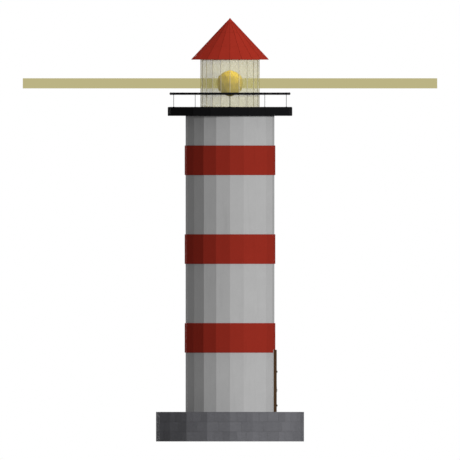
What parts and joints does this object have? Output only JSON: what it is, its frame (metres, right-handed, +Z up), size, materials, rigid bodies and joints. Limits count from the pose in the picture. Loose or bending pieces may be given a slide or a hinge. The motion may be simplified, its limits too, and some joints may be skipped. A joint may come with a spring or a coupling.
{
  "type": "lighthouse",
  "caption": "Faceted masonry lighthouse with raised red bands on a dark plinth, a railed gallery, a glazed lantern under a pointed roof, a turning optic and a hinged door.",
  "frame": {"origin": "middle of the plinth's underside, at ground level", "axes": "+Z up the tower, +X out through the doorway, +Y to the doorway's left seen from inside"},
  "size_m": [7, 7, 20.02],
  "materials": {
    "plinth_stone": "dressed dark granite",
    "floor_stone": "flagstone",
    "shaft_render": "painted render",
    "band_red": "red painted render",
    "gallery_black": "black painted",
    "rail_black": "satin",
    "lantern_bronze": "pale, dull",
    "lantern_glass": "clear, warm",
    "roof_red": "satin",
    "iron_black": "black",
    "spindle_steel": "turned",
    "lens_glass": "amber, faceted",
    "door_timber": "oiled, dark"
  },
  "bodies": {
    "tower": {"plinth": "plinth_stone", "ground_floor": "floor_stone", "door_sill": "floor_stone", "ground_wall_northeast": "shaft_render", "ground_wall_northwest": "shaft_render", "ground_wall_southwest": "shaft_render", "ground_wall_southeast": "shaft_render", "middle_wall_east": "shaft_render", "middle_wall_northeast": "shaft_render", "middle_wall_northwest": "shaft_render", "middle_wall_southwest": "shaft_render", "middle_wall_southeast": "shaft_render", "upper_wall_east": "shaft_render", "upper_wall_northeast": "shaft_render", "upper_wall_northwest": "shaft_render", "upper_wall_southwest": "shaft_render", "upper_wall_southeast": "shaft_render", "door_jamb_south": "shaft_render", "door_jamb_north": "shaft_render", "door_lintel": "shaft_render", "band_lower": "band_red", "band_middle": "band_red", "band_upper": "band_red", "gallery_deck": "gallery_black", "gallery_rail": "rail_black", "gallery_posts": "rail_black", "lantern_bars": "lantern_bronze", "lantern_sills": "lantern_bronze", "lantern_heads": "lantern_bronze", "lantern_glass": "lantern_glass", "roof_eaves": "roof_red", "roof_shell": "roof_red", "optic_bearing": "iron_black", "door_frame": "door_timber", "door_overpanel": "door_timber", "door_pintles": "iron_black"},
    "door": {"door_leaf": "door_timber", "door_ledges": "door_timber", "door_straps": "iron_black", "door_ring": "iron_black"},
    "optic": {"optic_lens": "lens_glass", "optic_spindle": "spindle_steel"}
  },
  "joints": [
    {"name": "door_hinge", "type": "hinge", "parent": "tower", "child": "door", "pos_m": [2.229, 0.567, 2.508], "axis": [0, 0, 1], "range_deg": [0, 110]},
    {"name": "optic_spin", "type": "hinge", "parent": "tower", "child": "optic", "pos_m": [0, 0, 15.82], "axis": [0, 0, 1], "continuous": true}
  ]
}
